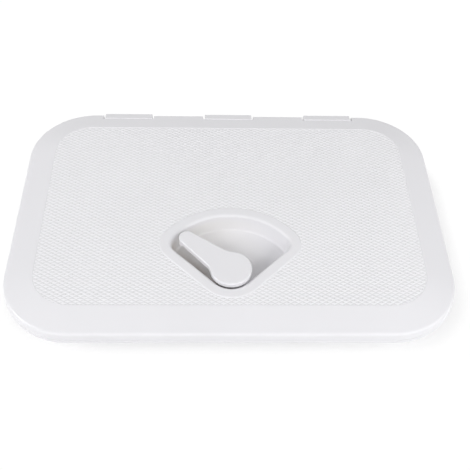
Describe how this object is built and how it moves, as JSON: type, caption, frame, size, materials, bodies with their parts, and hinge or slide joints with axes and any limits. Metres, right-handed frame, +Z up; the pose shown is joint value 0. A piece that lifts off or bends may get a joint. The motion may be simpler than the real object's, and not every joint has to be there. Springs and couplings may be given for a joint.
{
  "type": "access hatch",
  "caption": "Low rectangular deck access hatch with a hinged non-slip lid, a fan-shaped finger well and a quarter-turn lever latch.",
  "frame": {"origin": "centre of the deck opening and of the screw holes, on the deck plane, which is the underside of the frame's flange", "axes": "+X along the hinge side, the long side; +Y towards the hinges; +Z up out of the deck"},
  "size_m": [0.3752, 0.2616, 0.0458],
  "materials": {
    "frame_plastic": "satin",
    "lid_plastic": "satin",
    "lever_plastic": "satin",
    "latch_plastic": "matte",
    "seal_rubber": "matte",
    "stainless": "brushed"
  },
  "bodies": {
    "frame_body": {"frame": "frame_plastic"},
    "lid_body": {"lid": "lid_plastic", "lid_seal": "seal_rubber", "hinge_pin_left": "stainless", "hinge_pin_centre": "stainless", "hinge_pin_right": "stainless"},
    "handle_body": {"handle_lever": "lever_plastic", "spindle_o_ring": "seal_rubber", "thrust_washer": "latch_plastic", "latch_tongue": "latch_plastic", "tongue_washer": "stainless", "tongue_screw": "stainless"}
  },
  "joints": [
    {"name": "lid_hinge", "type": "hinge", "parent": "frame_body", "child": "lid_body", "pos_m": [0, 0.1265, 0.0076], "axis": [-1, 0, 0], "range_deg": [0, 105]},
    {"name": "handle_turn", "type": "hinge", "parent": "lid_body", "child": "handle_body", "pos_m": [0, -0.07, 0], "axis": [0, 0, 1], "range_deg": [-90, 0]}
  ]
}
